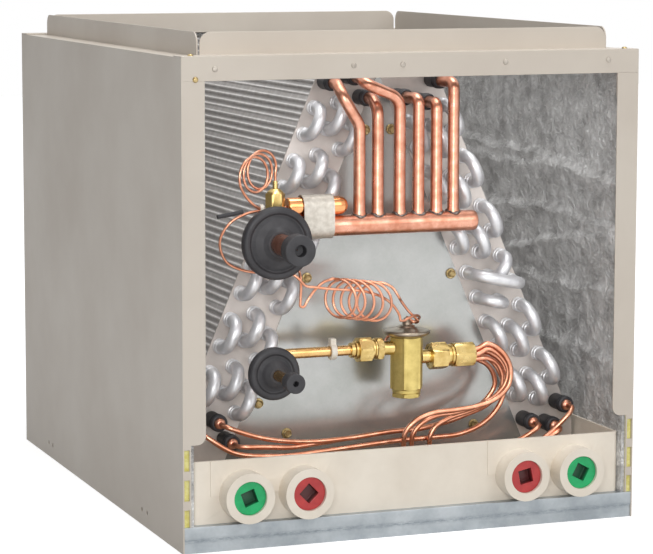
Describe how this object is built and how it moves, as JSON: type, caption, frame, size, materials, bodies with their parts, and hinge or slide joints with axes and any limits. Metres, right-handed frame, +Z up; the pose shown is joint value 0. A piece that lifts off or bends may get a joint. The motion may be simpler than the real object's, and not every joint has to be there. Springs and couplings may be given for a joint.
{
  "type": "cased a-coil evaporator",
  "caption": "Painted sheet-metal casing open at the front, holding two finned slabs leaning as an A over a drain pan, with copper manifold and expansion valve.",
  "frame": {"origin": "middle of the base, under the box of the whole part", "axes": "+X to the right across the open front, +Y from the front to the back, +Z up"},
  "size_m": [0.445, 0.605, 0.462],
  "materials": {
    "casing_paint": "satin greige powder coat over steel sheet",
    "galvanised_steel": "bright zinc coating",
    "foil_insulation": "wrinkled foil facing over fibreglass",
    "pan_plastic": "cream moulded polymer",
    "green_plastic": "moulded",
    "red_plastic": "moulded",
    "fin_aluminium": "mill finish, rippled fin edges",
    "tube_sheet_steel": "galvanised, dull",
    "bend_aluminium": "mill finish",
    "copper": "bright drawn copper",
    "rubber": "matt black",
    "nylon": "natural nylon",
    "bright_steel": "stainless strip",
    "brass": "forged and machined"
  },
  "bodies": {
    "root": {"apex_cap": "galvanised_steel", "back_insulation": "foil_insulation", "back_panel": "casing_paint", "bulb_capillary": "copper", "bulb_strap": "bright_steel", "distributor": "brass", "drain_pan": "pan_plastic", "equalizer_fitting": "brass", "equalizer_tube": "copper", "feeder_sleeves": "rubber", "feeder_tube_1": "copper", "feeder_tube_2": "copper", "feeder_tube_3": "copper", "feeder_tube_4": "copper", "feeder_tube_5": "copper", "feeder_tube_6": "copper", "front_base_rail": "galvanised_steel", "front_delta_plate": "galvanised_steel", "front_top_rail": "casing_paint", "inlet_fitting": "brass", "inlet_sleeves": "rubber", "inlet_stubs": "copper", "left_distributor_tubes": "copper", "left_fin_pack": "fin_aluminium", "left_front_tube_sheet": "tube_sheet_steel", "left_inner_drain_plug": "red_plastic", "left_inner_return_bends": "bend_aluminium", "left_insulation": "foil_insulation", "left_middle_return_bends": "bend_aluminium", "left_outer_drain_plug": "green_plastic", "left_outer_return_bends": "bend_aluminium", "left_pan_runner": "galvanised_steel", "left_rear_return_bends": "bend_aluminium", "left_rear_tube_sheet": "tube_sheet_steel", "left_side_panel": "casing_paint", "line_clip": "nylon", "liquid_cap": "rubber", "liquid_grommet": "rubber", "liquid_line": "brass", "outlet_fitting": "brass", "power_head": "bright_steel", "rear_delta_plate": "galvanised_steel", "right_distributor_tubes": "copper", "right_fin_pack": "fin_aluminium", "right_front_tube_sheet": "tube_sheet_steel", "right_inner_drain_plug": "red_plastic", "right_inner_return_bends": "bend_aluminium", "right_insulation": "foil_insulation", "right_middle_return_bends": "bend_aluminium", "right_outer_drain_plug": "green_plastic", "right_outer_return_bends": "bend_aluminium", "right_pan_runner": "galvanised_steel", "right_rear_return_bends": "bend_aluminium", "right_rear_tube_sheet": "tube_sheet_steel", "right_side_panel": "casing_paint", "sensing_bulb": "copper", "suction_cap": "rubber", "suction_grommet": "rubber", "suction_line": "copper", "valve_body": "brass"}
  },
  "joints": []
}
